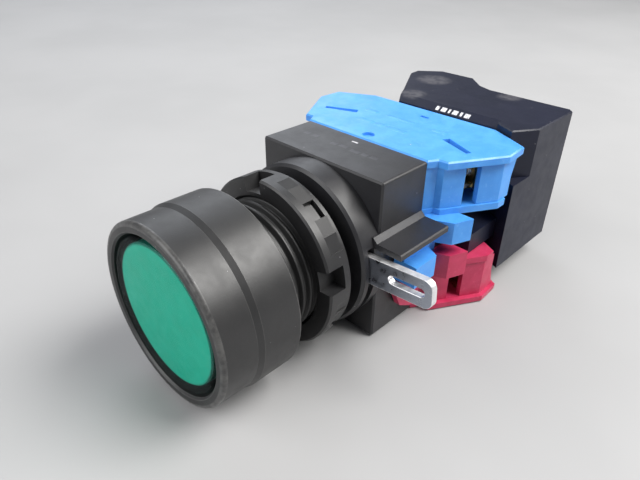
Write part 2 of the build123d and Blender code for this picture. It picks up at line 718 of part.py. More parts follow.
# supply terminals of the transformer, one above the other behind the rear openings
supply, supply_plates = [], []
for z in (9.0, -1.0):
    with BuildPart() as ss:
        with BuildSketch(cross(68.9)):
            with Locations((-8.4, z)):
                Circle(2.6)
        extrude(amount=1.9)
        with BuildSketch(cross(67.2)):
            with Locations((-8.4, z)):
                Circle(1.72)
        extrude(amount=5.0)
        with BuildSketch(cross(69.2)):
            with Locations((-8.4, z)):
                Rectangle(6.0, 0.8)
                Rectangle(0.8, 6.0)
        extrude(amount=1.0, mode=Mode.SUBTRACT)
    supply.append(ss.part)
    with BuildPart() as sp:
        with BuildSketch(cross(66.9)):
            with Locations((-8.4, z)):
                Rectangle(5.6, 5.6)
                Circle(1.8, mode=Mode.SUBTRACT)
        extrude(amount=1.0)
        with BuildSketch(cross(66.0)):
            with Locations((-8.4, z - 2.4)):
                Rectangle(3.0, 0.8)
        extrude(amount=3.6)
    supply_plates.append(sp.part)
save(Compound(children=supply), "supply_screws")
save(Compound(children=supply_plates), "supply_terminals")
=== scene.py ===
from math import sin, cos, pi, radians, hypot, atan2, floor as ifloor

import bmesh
import bpy
import numpy as np
from mathutils import Matrix, Vector


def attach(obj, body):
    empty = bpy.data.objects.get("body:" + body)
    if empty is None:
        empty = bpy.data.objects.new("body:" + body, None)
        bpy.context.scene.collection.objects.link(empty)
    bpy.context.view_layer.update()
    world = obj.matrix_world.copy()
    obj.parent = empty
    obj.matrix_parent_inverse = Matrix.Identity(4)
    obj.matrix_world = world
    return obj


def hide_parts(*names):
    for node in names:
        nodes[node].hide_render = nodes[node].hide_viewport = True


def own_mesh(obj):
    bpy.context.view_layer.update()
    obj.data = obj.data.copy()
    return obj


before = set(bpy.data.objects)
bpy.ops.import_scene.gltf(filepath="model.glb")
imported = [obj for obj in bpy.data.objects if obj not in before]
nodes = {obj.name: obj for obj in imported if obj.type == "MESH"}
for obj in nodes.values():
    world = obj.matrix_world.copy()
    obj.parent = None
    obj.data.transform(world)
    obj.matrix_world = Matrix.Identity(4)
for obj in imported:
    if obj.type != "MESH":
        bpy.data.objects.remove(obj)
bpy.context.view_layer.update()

MM = 0.001
scene = bpy.context.scene


# ------------------------------------------------------------------ material nodes
class Mat:
    """A small writer for procedural materials. Positions are the object's own, in metres."""

    def __init__(self, name):
        self.m = bpy.data.materials.new(name)
        self.m.use_nodes = True
        self.t = self.m.node_tree
        self.t.nodes.clear()
        self.out = self.t.nodes.new("ShaderNodeOutputMaterial")
        self.p = self.t.nodes.new("ShaderNodeBsdfPrincipled")
        self.t.links.new(self.p.outputs[0], self.out.inputs["Surface"])
        self.pos = self.t.nodes.new("ShaderNodeTexCoord").outputs["Object"]

    def put(self, socket, value):
        if isinstance(value, bpy.types.NodeSocket):
            self.t.links.new(value, socket)
        elif isinstance(value, tuple) and len(value) == 3 and socket.type == "RGBA":
            socket.default_value = (*value, 1)
        else:
            socket.default_value = value

    def set(self, **values):
        for k, v in values.items():
            self.put(self.p.inputs[k.replace("_", " ")], v)
        return self

    def stretch(self, sx, sy, sz, rot=(0, 0, 0), vec=None):
        n = self.t.nodes.new("ShaderNodeMapping")
        self.put(n.inputs["Vector"], vec or self.pos)
        n.inputs["Scale"].default_value = (sx, sy, sz)
        n.inputs["Rotation"].default_value = rot
        return n.outputs[0]

    def noise(self, size_mm, detail=3.0, rough=0.55, warp=0.0, vec=None):
        n = self.t.nodes.new("ShaderNodeTexNoise")
        self.put(n.inputs["Vector"], vec or self.pos)
        n.inputs["Scale"].default_value = 1.0 / (size_mm * MM)
        n.inputs["Detail"].default_value = detail
        n.inputs["Roughness"].default_value = rough
        n.inputs["Distortion"].default_value = warp
        return n.outputs["Fac"]

    def cells(self, size_mm, vec=None, random=1.0):
        n = self.t.nodes.new("ShaderNodeTexVoronoi")
        self.put(n.inputs["Vector"], vec or self.pos)
        n.inputs["Scale"].default_value = 1.0 / (size_mm * MM)
        n.inputs["Randomness"].default_value = random
        return n.outputs["Distance"]

    def rng(self, x, lo, hi, to_lo=0.0, to_hi=1.0):
        n = self.t.nodes.new("ShaderNodeMapRange")
        n.clamp = True
        n.interpolation_type = "SMOOTHSTEP"
        self.put(n.inputs["Value"], x)
        for k, v in (("From Min", lo), ("From Max", hi), ("To Min", to_lo), ("To Max", to_hi)):
            self.put(n.inputs[k], v)
        return n.outputs["Result"]

    def math(self, op, a, b=0.0, c=None):
        n = self.t.nodes.new("ShaderNodeMath")
        n.operation = op
        self.put(n.inputs[0], a)
        self.put(n.inputs[1], b)
        if c is not None:
            self.put(n.inputs[2], c)
        return n.outputs[0]

    def mix(self, fac, a, b):
        n = self.t.nodes.new("ShaderNodeMix")
        n.data_type = "RGBA"
        self.put(n.inputs[0], fac)
        self.put(n.inputs[6], a)
        self.put(n.inputs[7], b)
        return n.outputs[2]

    def axis(self, i):
        n = self.t.nodes.new("ShaderNodeSeparateXYZ")
        self.put(n.inputs[0], self.pos)
        return n.outputs[i]

    def bump(self, height, depth_um, strength=1.0, normal=None):
        n = self.t.nodes.new("ShaderNodeBump")
        n.inputs["Strength"].default_value = strength
        n.inputs["Distance"].default_value = depth_um * 1e-6
        self.put(n.inputs["Height"], height)
        if normal is not None:
            self.put(n.inputs["Normal"], normal)
        return n.outputs[0]

    def box_mask(self, lo, hi, soft=0.08):
        """1 inside a box given in mm, falling to 0 over a soft border."""
        total = None
        for i in range(3):
            if lo[i] is None:
                continue
            a = self.axis(i)
            up = self.rng(a, (lo[i] - soft) * MM, (lo[i] + soft) * MM)
            down = self.rng(a, (hi[i] - soft) * MM, (hi[i] + soft) * MM, 1.0, 0.0)
            both = self.math("MULTIPLY", up, down)
            total = both if total is None else self.math("MULTIPLY", total, both)
        return total

    def disc_mask(self, centre, r, soft):
        """1 inside a vertical round patch in plan, in mm."""
        dx = self.math("SUBTRACT", self.axis(0), centre[0] * MM)
        dy = self.math("SUBTRACT", self.axis(1), centre[1] * MM)
        d = self.math("SQRT", self.math("ADD", self.math("MULTIPLY", dx, dx), self.math("MULTIPLY", dy, dy)))
        return self.rng(d, (r - soft) * MM, (r + soft) * MM, 1.0, 0.0)


def add_dust(k, colour, dust_colour, amount=1.0, cell=1.7):
    """Sparse pale specks, the largest about 0.12 mm across."""
    d = k.cells(cell)
    speck = k.rng(d, 0.035 * amount, 0.062 * amount, 1.0, 0.0)
    keep = k.rng(k.noise(cell * 2.3, 1.0), 0.5, 0.56)
    return k.mix(k.math("MULTIPLY", speck, keep), colour, dust_colour)


def black_plastic(name, dark, light, rough=0.5, grain_mm=0.16, grain_um=3.0, gloss=0.45, dust=1.0, marks=None, tint=None):
    k = Mat(name)
    patch = k.rng(k.noise(6.5, 3.0, 0.5, 0.3), 0.25, 0.75)
    fine = k.noise(grain_mm * 1.6, 2.0, 0.6)
    col = k.mix(patch, dark, light)
    col = k.mix(k.rng(fine, 0.55, 0.8, 0.0, 0.3), col, tuple(min(1, c * 1.7 + 0.006) for c in light))
    # faint handling scuffs, mostly along the length
    scuff = k.rng(k.noise(0.5, 3.0, 0.7, 0.6, k.stretch(1, 0.16, 1, (0.3, 0.2, 0.1))), 0.66, 0.74)
    scuff_zone = k.rng(k.noise(7.0, 2.0), 0.56, 0.7)
    scuffed = k.math("MULTIPLY", scuff, scuff_zone)
    col = k.mix(k.math("MULTIPLY", scuffed, 0.25), col, tuple(c * 2.0 + 0.01 for c in light))
    if tint:
        col = k.mix(k.rng(k.noise(9.0, 2.0), 0.35, 0.7, 0.0, 0.6), col, tint)
    if dust:
        col = add_dust(k, col, (0.32, 0.32, 0.33), dust)
    r = k.rng(k.noise(2.6, 3.0, 0.6), 0.3, 0.75, rough - 0.03, rough + 0.05)
    r = k.math("SUBTRACT", r, k.math("MULTIPLY", scuffed, 0.07))
    height = k.noise(grain_mm, 2.0, 0.6)
    normal = k.bump(height, grain_um)
    normal = k.bump(k.noise(4.6, 2.0), 4.0, 1.0, normal)
    if marks:
        col, r, normal = marks(k, col, r, normal)
    k.set(Base_Color=col, Roughness=r, Normal=normal, Specular_IOR_Level=gloss)
    return k.m


def edge_wear_and_painted_highlight(name, base, pale, rough=0.36):
    """The same moulding along its rounded edges, paler and smoother: partly rubbed wear, partly a painted highlight
    where the edges catch the light.
    """
    k = Mat(name)
    rub = k.rng(k.noise(1.3, 4.0, 0.65), 0.3, 0.66)
    # wear and painted highlight: the edge colour is mixed towards a paler tone
    col = k.mix(rub, base, pale)
    col = k.mix(k.rng(k.noise(0.25, 2.0), 0.62, 0.75, 0.0, 0.6), col, tuple(min(1, c * 1.6) for c in pale))
    k.set(Base_Color=col, Roughness=k.rng(k.noise(0.8, 2.0), 0.3, 0.7, rough - 0.06, rough + 0.1),
          Normal=k.bump(k.noise(0.2, 2.0), 2.5), Specular_IOR_Level=0.55)
    return k.m


def satin_plastic(name, base, deep, pale, rough=0.4, scatter=0.12, radius=(0.5, 0.7, 1.0), marks=None):
    """Pigmented moulded plastic that lets a little light in at its edges."""
    k = Mat(name)
    flow = k.rng(k.noise(5.0, 3.0, 0.55, 1.2), 0.3, 0.72)
    col = k.mix(flow, deep, base)
    col = k.mix(k.rng(k.noise(0.6, 3.0, 0.6), 0.56, 0.8, 0.0, 0.3), col, pale)
    scuff = k.rng(k.noise(0.45, 3.0, 0.7, 0.5, k.stretch(0.2, 1, 1, (0.2, 0.1, 0.5))), 0.68, 0.76)
    zone = k.rng(k.noise(6.0, 2.0), 0.5, 0.64)
    worn = k.math("MULTIPLY", scuff, zone)
    col = k.mix(k.math("MULTIPLY", worn, 0.35), col, pale)
    col = add_dust(k, col, (0.9, 0.92, 0.95), 0.85, 2.1)
    normal = k.bump(k.noise(0.22, 2.0, 0.6), 2.2)
    normal = k.bump(k.noise(2.8, 2.0), 7.0, 1.0, normal)
    r = k.rng(k.noise(2.2, 3.0), 0.3, 0.72, rough - 0.07, rough + 0.08)
    if marks:
        col, r, normal = marks(k, col, r, normal)
    k.set(Base_Color=col, Roughness=r, Normal=normal, Subsurface_Weight=scatter, Subsurface_Radius=radius,
          Subsurface_Scale=0.0009, Specular_IOR_Level=0.5)
    return k.m


def metal(name, base, dark, rough=0.3, line=(1, 1, 0.06), rot=(0, 0, 0), line_mm=0.09, line_um=1.6, spots=0.4, tarnish=(0.3, 0.28, 0.26), wave_um=5.0):
    k = Mat(name)
    grain = k.noise(line_mm, 2.0, 0.6, 0.0, k.stretch(*line, rot))
    col = k.mix(k.rng(grain, 0.3, 0.75), dark, base)
    spot = k.rng(k.noise(0.9, 4.0, 0.65), 0.6, 0.74, 0.0, spots)
    col = k.mix(spot, col, tarnish)
    scratch = k.rng(k.noise(0.35, 3.0, 0.7, 0.3, k.stretch(0.12, 1, 1, (0.1, 0.5, 0.3))), 0.68, 0.72)
    r = k.rng(k.noise(1.1, 3.0), 0.3, 0.7, rough - 0.06, rough + 0.12)
    r = k.math("ADD", r, k.math("MULTIPLY", scratch, 0.12))
    normal = k.bump(grain, line_um)
    normal = k.bump(k.noise(1.8, 2.0), wave_um, 1.0, normal)
    k.set(Base_Color=col, Metallic=1.0, Roughness=r, Normal=normal)
    return k.m


# ------------------------------------------------------------------ generic marks that stand in for printing and raised text
def adaptor_marks(k, col, r, normal):
    """Faint raised dashes on the top of the adaptor."""
    total = None
    for x0, x1, y0, y1 in ((-9.4, -8.2, 23.7, 24.7), (-7.6, -6.2, 23.8, 24.7), (-2.9, -1.6, 23.5, 24.4), (-1.1, 0.6, 23.7, 24.6), (1.5, 3.4, 23.4, 24.4), (3.9, 5.1, 23.5, 24.4), (5.6, 7.1, 23.6, 24.5)):
        m = k.box_mask((x0, y0, 14.2), (x1, y1, 14.9), 0.12)
        total = m if total is None else k.math("MAXIMUM", total, m)
    col = k.mix(k.math("MULTIPLY", total, 0.5), col, (0.05, 0.05, 0.06))
    chip = k.math("MULTIPLY", k.box_mask((-0.9, 26.75, 14.2), (0.4, 27.15, 14.9), 0.1), k.rng(k.noise(0.35, 2.0), 0.35, 0.5))
    col = k.mix(chip, col, (0.5, 0.5, 0.52))
    normal = k.bump(total, 40.0, 0.6, normal)
    return col, r, normal


def case_marks(k, col, r, normal):
    """White printed bars near the front edge of the case top, and rubbed patches with paler plastic."""
    total = None
    for x0, x1 in ((0.2, 0.9), (1.4, 2.5), (3.0, 3.4), (3.9, 5.0), (5.5, 6.0), (6.5, 7.6)):
        m = k.box_mask((x0, 49.0, 14.97), (x1, 51.4, 15.5), 0.06)
        total = m if total is None else k.math("MAXIMUM", total, m)
    worn = k.rng(k.noise(0.3, 2.0), 0.25, 0.5)
    patch = None
    for cx, cy, rad in ((-9.8, 63.8, 3.4), (7.8, 64.4, 2.0), (-7.0, 52.4, 2.3)):
        m = k.disc_mask((cx, cy), rad, 1.0)
        patch = m if patch is None else k.math("MAXIMUM", patch, m)
    patch = k.math("MULTIPLY", patch, k.rng(k.axis(2), 15.2 * MM, 15.6 * MM))
    patch = k.math("MULTIPLY", patch, k.rng(k.noise(1.1, 3.0, 0.6), 0.32, 0.6, 0.25, 1.0))
    col = k.mix(k.math("MULTIPLY", patch, 0.7), col, (0.10, 0.098, 0.11))
    col = k.mix(k.math("MULTIPLY", total, worn), col, (0.78, 0.78, 0.8))
    return col, r, normal


def blue_marks(k, col, r, normal):
    """Soft raised dashes on the top plate of a block."""
    total = None
    for x0, x1, y0, y1 in ((-7.5, -4.0, 35.6, 36.6), (-3.2, -1.6, 35.6, 36.6), (-0.6, 3.4, 35.6, 36.6), (6.0, 8.6, 40.4, 41.4), (-9.4, -6.8, 40.4, 41.4), (-4.4, 1.6, 40.6, 41.4)):
        m = k.box_mask((x0, y0, 14.5), (x1, y1, 15.0), 0.2)
        total = m if total is None else k.math("MAXIMUM", total, m)
    return col, r, k.bump(total, 110.0, 0.8, normal)


# ------------------------------------------------------------------ materials
M = {}
M["bezel"] = black_plastic("bezel_matte", (0.012, 0.012, 0.0125), (0.016, 0.016, 0.0165), 0.45, 0.2, 6.5, 0.6, 0.9)
# the edge finishes below are paler than their faces: partly wear, partly a painted highlight
M["bezel_edge"] = edge_wear_and_painted_highlight("bezel_edge", (0.030, 0.030, 0.031), (0.075, 0.074, 0.072), 0.34)
M["nut"] = black_plastic("nut_matte", (0.012, 0.012, 0.013), (0.017, 0.017, 0.018), 0.43, 0.18, 5.0, 0.6, 0.9)
M["nut_edge"] = edge_wear_and_painted_highlight("nut_edge", (0.04, 0.04, 0.042), (0.12, 0.12, 0.12), 0.33)
M["adaptor"] = black_plastic("adaptor_matte", (0.012, 0.012, 0.014), (0.017, 0.017, 0.020), 0.43, 0.2, 5.0, 0.6, 0.9, adaptor_marks)
M["adaptor_edge"] = edge_wear_and_painted_highlight("adaptor_edge", (0.05, 0.05, 0.052), (0.15, 0.145, 0.14), 0.32)
M["case"] = black_plastic("case_satin", (0.008, 0.010, 0.022), (0.011, 0.013, 0.028), 0.42, 0.2, 2.4, 0.3, 0.8, case_marks)
M["case_edge"] = edge_wear_and_painted_highlight("case_edge", (0.04, 0.04, 0.05), (0.13, 0.13, 0.15), 0.32)
M["inner"] = black_plastic("inner_black", (0.018, 0.018, 0.018), (0.028, 0.028, 0.028), 0.55, 0.2, 3.0, 0.4, 0)
M["rubber"] = black_plastic("rubber", (0.016, 0.016, 0.016), (0.026, 0.026, 0.026), 0.72, 0.25, 6.0, 0.3, 0.6)
M["blue"] = satin_plastic("blue_block", (0.078, 0.33, 0.80), (0.056, 0.28, 0.74), (0.24, 0.54, 0.92), 0.4, 0.16, (0.3, 0.7, 1.0), blue_marks)
# painted highlight: a paler copy of the blue plastic for the rounded edges
M["blue_edge"] = satin_plastic("blue_block_edge", (0.14, 0.47, 0.9), (0.10, 0.40, 0.86), (0.36, 0.66, 0.96), 0.34, 0.22, (0.3, 0.7, 1.0))
M["red"] = satin_plastic("red_block", (0.52, 0.036, 0.105), (0.45, 0.024, 0.08), (0.74, 0.16, 0.26), 0.4, 0.16, (1.0, 0.3, 0.4))
# painted highlight: a paler copy of the red plastic for the rounded edges
M["red_edge"] = satin_plastic("red_block_edge", (0.72, 0.07, 0.15), (0.62, 0.045, 0.11), (0.9, 0.3, 0.36), 0.34, 0.22, (1.0, 0.3, 0.4))
M["white"] = satin_plastic("white_nylon", (0.78, 0.78, 0.74), (0.72, 0.72, 0.68), (0.85, 0.85, 0.82), 0.45, 0.2)
M["diffuser"] = satin_plastic("white_diffuser", (0.82, 0.83, 0.81), (0.78, 0.79, 0.77), (0.9, 0.9, 0.88), 0.5, 0.3)
M["zinc"] = metal("lever_zinc", (0.46, 0.49, 0.56), (0.40, 0.43, 0.50), 0.31, (0.08, 1, 1), (0, 0.08, 0), 0.12, 0.25, 0.06, (0.5, 0.49, 0.48), 0.6)
# the cut-edge metal is near white: bare cut metal with a painted highlight
M["zinc_edge"] = metal("lever_cut_edge", (0.95, 0.95, 0.96), (0.88, 0.88, 0.9), 0.42, (1, 0.15, 1), (0, 0, 0), 0.08, 0.8, 0.05, (0.6, 0.58, 0.55), 0.6)
M["spring"] = metal("spring_wire", (0.62, 0.62, 0.64), (0.45, 0.45, 0.47), 0.28, (1, 1, 1), (0, 0, 0), 0.08, 1.0, 0.3)
M["screw"] = metal("screw_zinc", (0.80, 0.79, 0.76), (0.6, 0.59, 0.55), 0.27, (1, 1, 1), (0, 0, 0), 0.1, 1.6, 0.4)
M["nickel"] = metal("washer_nickel", (0.76, 0.74, 0.69), (0.6, 0.58, 0.54), 0.3, (1, 1, 0.1), (0, 0, 0), 0.08, 1.4, 0.4)
M["brass"] = metal("contact_brass", (0.78, 0.60, 0.30), (0.62, 0.46, 0.22), 0.32, (0.1, 1, 1), (0, 0, 0), 0.08, 1.4, 0.5, (0.32, 0.2, 0.1))
M["silver"] = metal("bridge_silver", (0.87, 0.86, 0.83), (0.7, 0.69, 0.66), 0.26, (0.1, 1, 1), (0, 0, 0), 0.07, 1.2, 0.3)
M["steel"] = metal("core_steel", (0.42, 0.43, 0.45), (0.26, 0.27, 0.29), 0.42, (1, 0.04, 1), (0, 0, 0), 0.5, 8.0, 0.4)
M["copper"] = metal("copper_winding", (0.72, 0.30, 0.14), (0.5, 0.18, 0.08), 0.3, (1, 1, 0.05), (0, 0, 0), 0.25, 12.0, 0.2, (0.3, 0.1, 0.05))


def green_filter():
    k = Mat("green_filter")
    x, z = k.axis(0), k.axis(2)
    rr = k.math("SQRT", k.math("ADD", k.math("MULTIPLY", x, x), k.math("MULTIPLY", z, z)))
    wander = k.math("MULTIPLY", k.math("SUBTRACT", k.noise(1.2, 2.0), 0.5), 0.0002)
    rr = k.math("ADD", rr, wander)
    centre = k.mix(k.rng(k.noise(3.2, 3.0), 0.3, 0.7), (0.003, 0.40, 0.27), (0.004, 0.44, 0.305))
    # painted shade: the filter darkens towards its edge, where the lens rim and bezel lip shade it
    rim = k.mix(k.rng(rr, 10.45 * MM, 10.95 * MM), centre, (0.003, 0.12, 0.09))
    col = add_dust(k, rim, (0.25, 0.6, 0.45), 0.6, 2.4)
    k.set(Base_Color=col, Roughness=k.rng(k.noise(1.0, 3.0), 0.3, 0.7, 0.42, 0.52), Subsurface_Weight=0.1,
          Subsurface_Radius=(0.1, 1.0, 0.6), Subsurface_Scale=0.0008, Normal=k.bump(k.noise(0.8, 2.0), 1.0), Specular_IOR_Level=0.3)
    return k.m


def clear_lens():
    """Clear cover: what lies behind shows through a faint haze, and its surface mirrors the light."""
    k = Mat("clear_lens")
    see = k.t.nodes.new("ShaderNodeBsdfTransparent")
    see.inputs[0].default_value = (0.90, 0.96, 0.95, 1)
    blend = k.t.nodes.new("ShaderNodeMixShader")
    face = k.t.nodes.new("ShaderNodeLayerWeight")
    face.inputs["Blend"].default_value = 0.5
    glance = k.math("MULTIPLY_ADD", k.math("POWER", face.outputs["Facing"], 8.0), 0.5, 0.009)
    scratch = k.rng(k.noise(0.4, 3.0, 0.7, 0.4, k.stretch(0.15, 1, 1, (0.2, 0.7, 0.1))), 0.68, 0.73)
    haze = k.math("ADD", k.rng(k.noise(2.4, 3.0), 0.4, 0.75, 0.0, 0.006), k.math("MULTIPLY", scratch, 0.03))
    k.put(blend.inputs[0], k.math("ADD", glance, haze))
    k.put(blend.inputs[1], see.outputs[0])
    k.put(blend.inputs[2], k.p.outputs[0])
    k.t.links.new(blend.outputs[0], k.out.inputs["Surface"])
    normal = k.bump(k.noise(2.0, 2.0), 2.0)
    k.set(Base_Color=(0.80, 0.84, 0.86), Metallic=0.9, Roughness=k.rng(k.noise(0.9, 3.0), 0.3, 0.7, 0.10, 0.17), Normal=normal)
    return k.m


def lamp_glass():
    k = Mat("lamp_glass")
    k.set(Base_Color=k.mix(k.rng(k.noise(0.8, 2.0), 0.3, 0.7), (0.86, 0.88, 0.84), (0.93, 0.94, 0.9)),
          Roughness=k.rng(k.noise(0.5, 2.0), 0.3, 0.7, 0.3, 0.45), Subsurface_Weight=0.4, Subsurface_Scale=0.001,
          Normal=k.bump(k.noise(0.2, 2.0), 2.0))
    return k.m


M["green"] = green_filter()
M["lens"] = clear_lens()
M["lamp"] = lamp_glass()


# ------------------------------------------------------------------ mesh helpers
def weighted(o):
    m = o.modifiers.new("even_normals", "WEIGHTED_NORMAL")
    m.keep_sharp = True
    m.weight = 60


def finish_mesh(bm, name, materials, sharp=34.0, smooth=True):
    for e in bm.edges:
        e.smooth = not (len(e.link_faces) == 2 and e.calc_face_angle(0.0) > radians(sharp))
    for f in bm.faces:
        f.smooth = smooth
    bmesh.ops.recalc_face_normals(bm, faces=bm.faces)
    me = bpy.data.meshes.new(name)
    bm.to_mesh(me)
    bm.free()
    for m in materials:
        me.materials.append(m)
    o = bpy.data.objects.new(name, me)
    scene.collection.objects.link(o)
    return o


def stand_for(o, node, body):
    for n in node if isinstance(node, (list, tuple)) else [node]:
        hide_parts(n)
    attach(o, body)
    return o


def edge_room(bm, edges, width):
    """For each sharp edge, the share of the bevel width that fits between it and its neighbours."""
    room = {}
    mids = {e: np.array((e.verts[0].co + e.verts[1].co) / 2) for e in edges}
    sharp = set(edges)
    for e in edges:
        w = width
        d = (e.verts[1].co - e.verts[0].co)
        if d.length < 1e-7:
            room[e] = 0.0
            continue
        d.normalize()
        for v in e.verts:
            for f in v.link_edges:
                if f is e:
                    continue
                g = f.other_vert(v).co - v.co
                length = g.length
                if length < 1e-9:
                    continue
                g.normalize()
                s = (1 - min(1.0, abs(g.dot(d))) ** 2) ** 0.5
                if s < 0.35 and f in sharp:
                    continue
                if s < 0.05:
                    continue
                far = any(x in sharp for x in f.other_vert(v).link_edges if x is not f)
                w = min(w, length * s * (0.45 if far else 0.9))
        room[e] = w
    for f in bm.faces:
        on = [e for e in f.edges if e in sharp]
        if len(on) < 2 or len(on) > 900:
            continue
        a = np.array([e.verts[0].co for e in on])
        b = np.array([e.verts[1].co for e in on])
        ends = [set(e.verts) for e in on]
        ab = b - a
        l2 = np.maximum((ab * ab).sum(1), 1e-18)
        for i, e in enumerate(on):
            p = mids[e]
            t = np.clip(((p - a) * ab).sum(1) / l2, 0, 1)
            dist = np.linalg.norm(a + ab * t[:, None] - p, axis=1)
            for j in np.argsort(dist)[:10]:
                if j == i or ends[j] & ends[i]:
                    continue
                # an edge further along the same rounded rim isn't a neighbour across the face
                along = abs(np.dot(ab[j], ab[i])) / (l2[j] * l2[i]) ** 0.5
                if along > 0.8 and dist[j] > 0 and abs(np.dot((a[j] + ab[j] * t[j]) - p, ab[i])) > 0.8 * dist[j] * l2[i] ** 0.5:
                    continue
                room[e] = min(room[e], 0.45 * dist[j])
                break
    return room


def refine(node, body, face_mat, edge_mat, width=0.22, angle=27.0, segments=2, suffix="detail"):
    """A CAD node's own shape as a clean mesh with rounded edges, where the edges carry the edge material, which for the
    plastics is paler than the faces: a painted highlight, with wear on the black parts.
    """
    src = nodes[node]
    bm = bmesh.new()
    bm.from_mesh(src.data)
    bmesh.ops.remove_doubles(bm, verts=bm.verts, dist=3e-6)
    bmesh.ops.dissolve_degenerate(bm, dist=1e-6, edges=bm.edges)
    bmesh.ops.dissolve_limit(bm, angle_limit=radians(0.7), use_dissolve_boundaries=False, verts=bm.verts, edges=bm.edges, delimit=set())
    bmesh.ops.recalc_face_normals(bm, faces=bm.faces)
    bm.normal_update()
    sharp = [e for e in bm.edges if len(e.link_faces) == 2 and e.calc_face_angle(0.0) > radians(angle)]
    room = edge_room(bm, sharp, width * MM)
    layer = bm.edges.layers.float.get("bevel_weight_edge") or bm.edges.layers.float.new("bevel_weight_edge")
    for e in bm.edges:
        share = room.get(e, 0.0) / (width * MM)
        if share < 0.1:
            share = 0.0
        e[layer] = min(1.0, share)
        e.smooth = not (len(e.link_faces) == 2 and share == 0.0 and e.calc_face_angle(0.0) > radians(30))
    for f in bm.faces:
        f.smooth = True
        f.material_index = 0
    me = bpy.data.meshes.new(node + "_" + suffix)
    bm.to_mesh(me)
    bm.free()
    me.materials.append(face_mat)
    me.materials.append(edge_mat)
    o = bpy.data.objects.new(node + "_" + suffix, me)
    scene.collection.objects.link(o)
    b = o.modifiers.new("rounded_edges", "BEVEL")
    b.limit_method = "WEIGHT"
    b.width = width * MM
    b.offset_type = "OFFSET"
    b.segments = segments
    b.profile = 0.6
    b.use_clamp_overlap = False
    # bevel faces take the edge material: the paler, painted highlight along the edges
    b.material = 1
    b.miter_outer = "MITER_SHARP"
    weighted(o)
    return stand_for(o, node, body)


def revolve(bm, rows, steps, radius=None, mat=0, closed=True):
    """Turns a loop of (r, y) in mm round the Y axis. radius(r, y, a, i) may change a row's radius with angle."""
    grid = []
    for i, (r, y) in enumerate(rows):
        ring = []
        for j in range(steps):
            a = 2 * pi * j / steps
            rj = radius(r, y, a, i) if radius else r
            ring.append(bm.verts.new((rj * MM * cos(a), y * MM, rj * MM * sin(a))))
        grid.append(ring)
    n = len(rows)
    for i in range(n if closed else n - 1):
        a, b = grid[i], grid[(i + 1) % n]
        for j in range(steps):
            f = bm.faces.new((a[j], a[(j + 1) % steps], b[(j + 1) % steps], b[j]))
            f.material_index = mat(i) if callable(mat) else mat
    return grid


def round_loop(points, steps=3):
    """A closed loop of (r, y, corner radius) with its corners rounded; returns the points and whether each lies in a corner."""
    out, corner = [], []
    n = len(points)
    for i in range(n):
        x, y, f = points[i]
        if f <= 0:
            out.append((x, y)); corner.append(False)
            continue
        px, py, _ = points[i - 1]
        qx, qy, _ = points[(i + 1) % n]
        u = Vector((px - x, py - y)).normalized()
        v = Vector((qx - x, qy - y)).normalized()
        ang = u.angle(v)
        t = f / max(1e-6, abs(np.tan(ang / 2)))
        t = min(t, 0.48 * hypot(px - x, py - y), 0.48 * hypot(qx - x, qy - y))
        c0 = Vector((x, y)) + u * t
        c1 = Vector((x, y)) + v * t
        m = Vector((x, y))
        for s in range(steps + 1):
            k = s / steps
            p = c0 * (1 - k) ** 2 + m * 2 * k * (1 - k) + c1 * k ** 2
            out.append((p.x, p.y)); corner.append(s < steps)
    return out, corner


def tube(bm, path, wire, sides=10, mat=0):
    """A closed round wire along a list of points in mm, ends capped."""
    pts = [Vector(p) * MM for p in path]
    rings = []
    up = Vector((0, 1, 0))
    for i, p in enumerate(pts):
        d = (pts[min(i + 1, len(pts) - 1)] - pts[max(i - 1, 0)]).normalized()
        n = d.cross(up).normalized()
        b = d.cross(n).normalized()
        rings.append([bm.verts.new(p + (n * cos(2 * pi * s / sides) + b * sin(2 * pi * s / sides)) * wire * MM) for s in range(sides)])
    for i in range(len(rings) - 1):
        for s in range(sides):
            f = bm.faces.new((rings[i][s], rings[i][(s + 1) % sides], rings[i + 1][(s + 1) % sides], rings[i + 1][s]))
            f.material_index = mat
    bm.faces.new(rings[0]); bm.faces.new(rings[-1][::-1])


def spring(name, node, body, y0, y1, turns, r, wire, x=0.0, z=0.0, sides=10, per_turn=36):
    """Compression spring with closed end coils."""
    y0, y1 = y0 + wire, y1 - wire
    span = y1 - y0
    total = turns + 1.6
    n = int(total * per_turn)
    dead = 0.8
    close = 2 * wire * 1.04
    path = []
    for i in range(n + 1):
        t = total * i / n
        if t < dead:
            y = y0 + close * t
        elif t > total - dead:
            y = y1 - close * (total - t)
        else:
            lo, hi = y0 + close * dead, y1 - close * dead
            y = lo + (hi - lo) * (t - dead) / (total - 2 * dead)
        a = 2 * pi * t
        path.append((x + r * cos(a), y, z + r * sin(a)))
    bm = bmesh.new()
    tube(bm, path, wire, sides)
    o = finish_mesh(bm, name, [M["spring"]])
    return stand_for(o, node, body)


